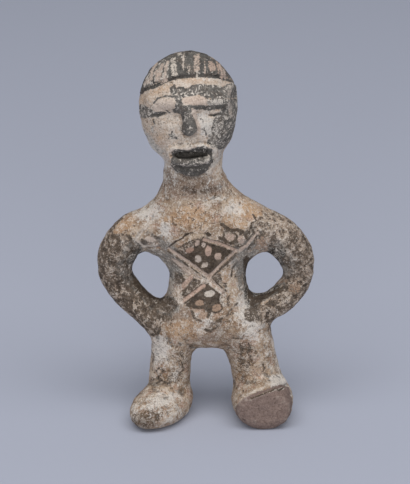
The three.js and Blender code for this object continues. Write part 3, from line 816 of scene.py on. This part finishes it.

# %% [markdown]
# ## Ochre, chalk, grey film and painted shade
# Iron in the slip has turned some places orange, lime from the soil has left a white bloom on
# others, and a grey film sits inside the arms where no hand could rub it away. The film is also
# painted shade, darker deep in the loops of the arms, and a few of the chalk marks are painted
# highlights.

# %% Lay out the stains
ochre = any_of(
    patch("106,232 114,222 128,213 138,214 134,226 120,236 110,238"),
    patch("236,196 250,200 264,214 258,222 240,218 228,210"),
    only_seen(patch("172,247 182,241 196,240.6 198,244 188,252 178,252")),
    only_seen(patch("222,214 244,219 250,228 240,230 224,222")),
    dot(296, 284, 16, 18),
    only_seen(dot(134, 306, 18, 14, 30)),
    only_seen(dot(227, 276, 11, 16)),
    only_seen(dot(166, 219.6, 10, 5, 10)) + 0.5,
    only_seen(dot(190, 217, 48, 22)),
    only_seen(dot(186, 330, 44, 22)),
    patch("136,96 146,91 152,96 148,104 146,122 152,138 146,144 136,122") / 3,
    only_seen(dot(196, 80, 64, 9, -8)) * 0.8 - 0.3,
    only_seen(dot(160, 90, 26, 9, 20)) * 0.8,
    only_seen(dot(160, 139, 14, 18)) * 0.5 - 0.2,
)
chalk_and_highlights = any_of(
    patch("132,206 150,200 162,205 160,220 146,226 134,222") * 0.6 - 0.2,
    only_seen(patch("160,222 170,222 173,238 164,242 158,236")),
    only_seen(patch("240,286 262,290 264,338 246,342 238,320 234,300")) * 0.6,
    dot(160, 350, 20, 34),
    # A white chip above the break, also a painted highlight.
    3 * only_seen(patch("268,376 286,372 294,380 288,390 272,394")),
    only_seen(dot(214, 199, 16, 7, 20)),
    # The pale top of the left foot: white bloom and a painted highlight.
    only_seen(dot(163, 400, 34, 15, 14)),
    only_seen(dot(176, 376, 12, 26)) * 0.7,
    only_seen(dot(205, 124, 12, 22)),
    4 * only_seen(patch("196,113 203,114.6 207,121 206,134 201,135 199,124")),
    only_seen(dot(234, 208, 22, 13, 20)) * 0.8,
    # A painted highlight: pale glossy streaks down the neck.
    3 * only_seen(stroke("207,174 210,180 206,187", 0.6)),
    only_seen(patch("194,144 208,143 211,147 196,148")),
    unevenness(points, 11, 12) * 3 - 1.6,
)
# Grey film and painted shade: darker towards the middle of each arm loop and on clay facing into it, and
# over listed patches on the loop walls and the sides of the trunk.
LOOP_MIDDLES = np.array([[-14.8, 0.5, 44.0], [15.8, 0.5, 46.5]])
to_loop = np.min([np.hypot(*(points - at)[:, [0, 2]].T) for at in LOOP_MIDDLES], axis=0)
inward = [np.sum((at - points)[:, [0, 2]] * normals[:, [0, 2]], axis=1) for at in LOOP_MIDDLES]
film_and_painted_shade = np.minimum((9.5 - to_loop) / 2, np.max(inward, axis=0) / 4)
film_and_painted_shade = np.maximum(film_and_painted_shade, only_seen(any_of(
    2.4 * patch("131,266 139,277 150,291 158,296 172,297 178,303 170,314 152,309 134,288") + 1,
    1.2 * dot(168, 306, 22, 16, 10) + 0.7,
    3.2 * patch("246,293 262,289 284,283 284,288 266,299 248,308") + 1,
    3.6 * patch("242.6,258 252,256 252,298 246,304 243.4,284") + 1.2,
    1.2 * patch("234,264 243,260 244,290 238,292"),
    0.6 * patch("164,262 169,266 174,286 172,300 168,298"),
)))
# A brown wash, and painted shade on the neck: under the chin, in the crease at its base and on its shaded
# left side.
umber_and_painted_shade = any_of(
    np.minimum(patch("158,158 212,162 216,180 224,192 206,200 178,201 156,190") / 1.4, 1.9),
    only_seen(patch("186,320 214,318 226,330 214,344 186,342")) / 2,
    dot(112, 262, 40, 70) / 2,
    dot(298, 262, 44, 70) / 2,
    unevenness(points, 10, 13) * 2 - 1.2,
    only_seen(stroke("184,188.6 192,190.6 202,191.6 218,188", 2.6)) * 1.6 + 1.4,
    only_seen(dot(146, 420, 32, 18, 20)) + 0.9,
    only_seen(dot(169, 178, 13, 26)) + 1.0,
    only_seen(dot(184, 143, 16, 8)) * 0.4 - 0.4,
)
slip = np.minimum((points[:, 2] - 69) / 3, 1.5) + 0.4 * unevenness(points, 5, 14)
print("stains: ochre", percent(ochre > 0), "% chalk", percent(chalk_and_highlights > 0), "%")

# %% Build the piece and hand its measures to the material


def finished_piece(name, points, triangles, measures):
    """One mesh from the arrays, smooth shaded, with one number per point for each measure."""
    mesh = bpy.data.meshes.new(name)
    mesh.from_pydata((points * MM).tolist(), [], triangles.tolist())
    mesh.polygons.foreach_set("use_smooth", np.ones(len(triangles), bool))
    for measure, values in measures.items():
        layer = mesh.attributes.new(measure, "FLOAT", "POINT")
        layer.data.foreach_set("value", np.clip(values, -4, 4).astype(np.float32))
    mesh.update()
    piece = bpy.data.objects.new(name, mesh)
    bpy.context.scene.collection.objects.link(piece)
    return piece


# Gloss and painted shade in the mouth: its paint is glossier and made darker for the shade in the opening,
# less so on the lower lip.
gloss_and_mouth_shade = rise(mouth_paint, -0.1, 0.4) * (1 - 0.75 * rise(lower_lip, -0.1, 0.3))
measures = {"paint": paint, "worn": worn, "light": light, "warmth": warmth, "ochre": ochre}
measures |= {"chalk_and_highlights": chalk_and_highlights, "film_and_painted_shade": film_and_painted_shade, "broken": broken, "hollow": hollow, "gloss_and_mouth_shade": gloss_and_mouth_shade}
measures |= {"umber_and_painted_shade": umber_and_painted_shade, "slip": slip, "specks": specks, "frayed": frayed}
skin = finished_piece("clay_figure", points, triangles, measures)
print("the piece has", len(skin.data.polygons), "triangles and", len(measures), "measures")

# %% [markdown]
# ## Fired clay, slip and paint as one material
# Earthenware is fired low and stays matt and slightly open, so it is rough with no clear gloss. Over
# it lie the slip, the stains and the paint, each a thin coat that ends in a ragged edge, and some
# coats are painted shade or painted highlights. A coat is mixed in where its measure, shaken by noise
# of a true size in millimetres, passes zero.

# %% Prepare colours and nodes


def linear(colour):
    """An sRGB hex colour as linear light: v/12.92 when dark, else ((v+0.055)/1.055) to the 2.4."""
    shares = [int(colour[i : i + 2], 16) / 255 for i in (1, 3, 5)]
    return (*[v / 12.92 if v <= 0.04045 else ((v + 0.055) / 1.055) ** 2.4 for v in shares], 1.0)


def add(tree, kind, inputs=None, **settings):
    """Adds one node. Settings are its own choices, inputs are plain values or other nodes' outputs."""
    made = tree.nodes.new(kind)
    for name, value in settings.items():
        setattr(made, name, value)
    for name, value in (inputs or {}).items():
        value = getattr(value, "socket", value)
        if isinstance(value, bpy.types.NodeSocket):
            tree.links.new(value, made.inputs[name])
        else:
            made.inputs[name].default_value = value
    return made


def new_material(name):
    """An empty material with its node tree and output, ready for a shader."""
    material = bpy.data.materials.new(name)
    material.use_nodes = True
    material.node_tree.nodes.clear()
    output = add(material.node_tree, "ShaderNodeOutputMaterial")
    return material, material.node_tree, output


def per_metre(size):
    """The scale of a noise whose lattice spacing is that size in mm, on coordinates in metres."""
    return 1 / (size * MM)


print("worn brown paint in linear light:", [round(v, 3) for v in linear("#544434")[:3]])

# %% Mix the coats
clay, tree, output = new_material("slipped_painted_earthenware")
place = add(tree, "ShaderNodeTexCoord").outputs["Object"]


class Value:
    """A node's output used like a number: each + - * with it adds one Math node to the tree."""

    def __init__(self, socket):
        self.socket = socket

    __add__ = lambda one, other: maths("ADD", one, other)
    __radd__ = lambda one, other: maths("ADD", other, one)
    __sub__ = lambda one, other: maths("SUBTRACT", one, other)
    __rsub__ = lambda one, other: maths("SUBTRACT", other, one)
    __mul__ = lambda one, other: maths("MULTIPLY", one, other)


def noise(size, seed, detail=2.0, low=0.3, high=0.7):
    """Noise of that size in mm, spread so that it fills 0 to 1. Each seed gives another pattern."""
    inputs = {"Vector": place, "W": seed, "Scale": per_metre(size), "Detail": detail, "Roughness": 0.66}
    raw = add(tree, "ShaderNodeTexNoise", inputs, noise_dimensions="4D")
    spread = {"Value": raw.outputs["Fac"], "From Min": low, "From Max": high}
    return Value(add(tree, "ShaderNodeMapRange", spread, clamp=True).outputs["Result"])


def maths(operation, *values):
    """One sum, product or the like of numbers and outputs."""
    made = add(tree, "ShaderNodeMath", dict(enumerate(values)), operation=operation)
    return Value(made.outputs["Value"])


def between(value, low, high):
    """0 below low and 1 above high, with a soft step."""
    spread = {"Value": value, "From Min": low, "From Max": high}
    made = add(tree, "ShaderNodeMapRange", spread, interpolation_type="SMOOTHSTEP")
    return Value(made.outputs["Result"])


def over(under, coat, cover):
    """Lays a coat over a colour where cover is 1. Coat and under are hex colours or outputs."""
    colours = [linear(c) if isinstance(c, str) else c for c in (under, coat)]
    inputs = {0: cover, 6: colours[0], 7: colours[1]}
    return add(tree, "ShaderNodeMix", inputs, data_type="RGBA").outputs[2]


def mixed(first, second, share=0.5):
    """Two noises added in that share."""
    return first * share + second * (1 - share)


def coat(under, colour, name, shake, low, high, strength):
    """Lays a stain, painted shade or a painted highlight over a colour where its measure, shaken by ragged
    noise in mm, passes zero.
    """
    shaken = measure[name] + ragged * shake
    return over(under, colour, between(shaken, low, high) * strength)


measure = {}
for name in measures:
    attribute = add(tree, "ShaderNodeAttribute", attribute_name=name)
    measure[name] = Value(attribute.outputs["Fac"])
broad, patchy, fleck, grit = noise(6.0, 1), noise(2.0, 2), noise(0.6, 3), noise(0.3, 4)
ragged = mixed(mixed(fleck, grit, 0.6), patchy, 0.6) - 0.5
crust = mixed(noise(1.3, 5), noise(0.42, 6), 0.5)
drawn_out = add(tree, "ShaderNodeVectorMath", {0: place, 1: (1.0, 1.0, 0.3)}, operation="MULTIPLY")
streak_noise = {"Vector": drawn_out.outputs["Vector"], "W": 21.0}
streak_noise |= {"Scale": per_metre(0.5), "Detail": 2.0}
streaks = add(tree, "ShaderNodeTexNoise", streak_noise, noise_dimensions="4D").outputs["Fac"]
spread = {"Value": streaks, "From Min": 0.32, "From Max": 0.68}
streaks = Value(add(tree, "ShaderNodeMapRange", spread).outputs["Result"])
dirt = mixed(noise(1.1, 7), noise(0.4, 8), 0.45)
body = over("#927860", "#C0AA93", between(mixed(broad, patchy, 0.6), 0.2, 0.75))
mottled = between(mixed(noise(1.7, 29), fleck, 0.75), 0.56, 0.76)
body = over(body, "#6E5846", mottled * 0.5)
body = over(body, "#BB9886", between(noise(3.6, 9), 0.5, 0.9) * 0.5)
slip_colour = over("#BFA994", "#DCCFC1", between(mixed(patchy, fleck, 0.55), 0.2, 0.7))
# Each row is a colour, its measure, its shake, the low and high ends of its step and its strength. The umber
# and film rows also lay painted shade, and the chalk row painted highlights.
STAINS_AND_PAINTED_SHADE = [
    ("#8A7565", "umber_and_painted_shade", 1.6, -0.5, 0.7, 0.75),
    ("#66564B", "umber_and_painted_shade", 1.6, 1.2, 2.6, 0.75),
    ("#4A3C32", "umber_and_painted_shade", 1.6, 2.2, 3.6, 0.6),
    (slip_colour, "slip", 1.2, -0.3, 0.5, 0.8),
    ("#BD956E", "ochre", 3.0, -0.5, 1.0, 0.55),
    ("#E2DCD4", "chalk_and_highlights", 5.0, -0.4, 1.0, 0.75),
    # Grey film, then painted shade in two darker steps inside the arm loops.
    ("#7E7972", "film_and_painted_shade", 1.8, -0.4, 0.8, 0.8),
    ("#4E4943", "film_and_painted_shade", 2.4, 0.9, 1.8, 0.85),
    ("#2E2925", "film_and_painted_shade", 2.4, 1.9, 3.0, 0.75),
]
for coating in STAINS_AND_PAINTED_SHADE:
    body = coat(body, *coating)
smooth_clay = between(measure["umber_and_painted_shade"], 0.0, 1.2)
crusted = 0.62 - smooth_clay * 0.36
body = over(body, "#DACFC2", between(crust, 0.54, 0.68) * crusted)
speck_line = 0.86 - measure["specks"] * 0.42
speckled = between(dirt - speck_line, 0.0, 0.1)
body = over(body, "#54422F", speckled * 0.8)

# %% Flake the paint
contour = maths("ABSOLUTE", noise(1.5, 10, 1.0) - 0.5)
curls = between(contour, 0.09, 0.02) * between(patchy, 0.4, 0.6)
body = over(body, "#57463A", curls * measure["specks"])
at_edge = measure["paint"] + ragged * 0.8
covered = between(at_edge, -0.12, 0.12)
height = Value(add(tree, "ShaderNodeSeparateXYZ", {"Vector": place}).outputs["Z"])
on_the_head = between(height, 66 * MM, 70 * MM)
on_the_cap = between(height, 89 * MM, 92 * MM)
flakes = mixed(mixed(noise(0.75, 3, 4.0), grit, 0.6), noise(1.5, 11), 0.76)
along_cap = on_the_cap * 0.55
flakes = flakes * (1.0 - along_cap) + streaks * along_cap
held = flakes - measure["worn"]
sheltered = (between(measure["hollow"], -0.25, 0.25) - 0.5) * 0.16
left_on = between(held + sheltered, -0.07, 0.09)
dark = covered * left_on
thin = mixed(noise(0.9, 22), noise(2.6, 23), 0.55)
brown_paint = over("#292018", "#544434", thin)
head_paint = over("#1E1D1D", "#474744", thin)
head_paint = over(head_paint, "#4A4038", between(noise(2.4, 27), 0.45, 0.8) * 0.7)
# Painted shade: the paint of the mouth is darker still, for the shade in its opening.
head_paint = over(head_paint, "#232322", measure["gloss_and_mouth_shade"] * 0.7)
paint_colour = over(brown_paint, head_paint, on_the_head)
ground_tone = over("#A69585", "#CCC5BB", on_the_head)
ground_tone = over(ground_tone, "#DDD3C7", between(mixed(noise(0.6, 30), grit, 0.75), 0.6, 0.72))
ground = over(body, ground_tone, covered * 0.68)
fading = thin * (0.05 + measure["worn"] * 0.6)
opacity = 0.97 - fading
surface = over(ground, paint_colour, dark * opacity)
dusty = between(measure["film_and_painted_shade"], -0.3, 0.8) * between(measure["film_and_painted_shade"], 1.8, 1.0)
surface = over(surface, "#86817A", dusty * (between(noise(1.4, 31), 0.3, 0.7) * 0.55))
# Earth and painted shade: darker in the hollows, half as strong on the head.
earth_and_painted_shade = between(measure["hollow"] + ragged * 0.3, 0.1, 0.34)
earth_and_painted_shade = earth_and_painted_shade * (1.0 - on_the_head * 0.5)
surface = over(surface, "#352D27", earth_and_painted_shade * (0.15 + mixed(fleck, grit, 0.5) * 0.8))
light_shake = 0.5 + measure["frayed"]
light_edge = measure["light"] + ragged * light_shake
holes = mixed(flakes, mixed(grit, fleck, 0.5), 0.5) - measure["frayed"] * 0.3
light_cover = between(light_edge, -0.14, 0.14) * between(holes, 0.1, 0.3)
light_colour = over("#D3C7B9", "#C29D88", measure["warmth"])
light_colour = over(light_colour, "#AD917A", between(measure["warmth"], 1.0, 2.0))
light_colour = over(light_colour, "#8F7B6A", between(noise(0.7, 24), 0.55, 0.95) * 0.55)
surface = over(surface, light_colour, light_cover * 0.92)
bare_clay = over("#67554D", "#97837A", mixed(fleck, grit, 0.5))
# Dark pits, denser towards the floor: real pits at the lower rim, and painted shade at the bottom of the
# break.
pits_and_low_shade = 0.25 + between(height, 4.5 * MM, 1.5 * MM) * 0.75
bare_clay = over(bare_clay, "#3B2F29", between(noise(0.8, 28), 0.28, 0.12) * pits_and_low_shade)
break_edge = measure["broken"] + ragged * 0.7
broken_off = between(break_edge, -0.15, 0.15)
surface = over(surface, bare_clay, broken_off)
# Wear and painted highlight: clay that stands proud is lighter where no paint holds.
worn_and_highlit = between(measure["hollow"], -0.06, -0.3) * (1.0 - dark)
surface = over(surface, "#DDD2C5", worn_and_highlit * 0.28)
grain = mixed(noise(0.5, 25), noise(0.28, 26), 0.55)
plain = 1.0 - maths("MAXIMUM", dark * 0.85, broken_off * 0.9)
surface = over(surface, "#2E251D", between(grain, 0.42, 0.14) * 0.5)
surface = over(surface, "#F2EAE0", between(grain, 0.58, 0.88) * 0.5 * plain)

# %% Finish the material
bump_height = mixed(crust, grit, 0.7) + dark * 0.25
bump = add(tree, "ShaderNodeBump", {"Height": bump_height, "Distance": 0.32 * MM, "Strength": 1.0})
roughness = 0.88 - dark * 0.12 - measure["gloss_and_mouth_shade"] * 0.42
sheen = {"Base Color": surface, "Roughness": roughness, "Normal": bump.outputs["Normal"]}
sheen |= {"IOR": 1.5, "Specular IOR Level": 0.22}
shader = add(tree, "ShaderNodeBsdfPrincipled", sheen)
tree.links.new(shader.outputs["BSDF"], output.inputs["Surface"])
skin.data.materials.append(clay)
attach(skin, "root")
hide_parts("statuette")
print("the material has", len(tree.nodes), "nodes")

# %% [markdown]
# ## Floor and light
# Museums show such a piece on plain pale grey-blue paper under one large soft light from above and
# before it, with a weak fill. That leaves a faint shadow between the feet and no hard edge.

# %% Spread the paper and hang the lights
paper, paper_tree, paper_output = new_material("matt_paper")
paper_look = {"Base Color": linear("#B0B4C2"), "Roughness": 0.95}
paper_shader = add(paper_tree, "ShaderNodeBsdfPrincipled", paper_look)
paper_tree.links.new(paper_shader.outputs["BSDF"], paper_output.inputs["Surface"])
FLOOR_HALF = 3.0
SOFTBOX_WATTS, FILL_WATTS, ROOM_STRENGTH = 12.6, 3.7, 0.48
floor_mesh = bpy.data.meshes.new("floor")
floor_corners = [(x * FLOOR_HALF, y * FLOOR_HALF, 0) for x, y in ((-1, -1), (1, -1), (1, 1), (-1, 1))]
floor_mesh.from_pydata(floor_corners, [], [(0, 1, 2, 3)])
floor_mesh.materials.append(paper)
floor = bpy.data.objects.new("floor", floor_mesh)
bpy.context.scene.collection.objects.link(floor)


def soft_light(name, stand, aim, wide, high, power):
    """A softbox that wide and high in metres, turned to face its aim."""
    data = bpy.data.lights.new(name, "AREA")
    data.shape = "RECTANGLE"
    data.size, data.size_y, data.energy = wide, high, power
    lamp = bpy.data.objects.new(name, data)
    bpy.context.scene.collection.objects.link(lamp)
    facing = (Vector(aim) - Vector(stand)).to_track_quat("-Z", "Y")
    lamp.matrix_world = Matrix.Translation(Vector(stand)) @ facing.to_matrix().to_4x4()


soft_light("softbox", (0.04, -0.45, 1.25), (0, 0.1, 0.03), 1.9, 0.8, SOFTBOX_WATTS)
soft_light("fill", (0.0, -1.0, 0.3), (0, 0, 0.05), 0.6, 0.6, FILL_WATTS)
world = bpy.data.worlds.new("room")
world.use_nodes = True
world.node_tree.nodes["Background"].inputs["Color"].default_value = linear("#D1D4DB")
world.node_tree.nodes["Background"].inputs["Strength"].default_value = ROOM_STRENGTH
bpy.context.scene.world = world
bpy.context.scene.view_settings.view_transform = "Standard"
print("paper, two softboxes and a dim room")
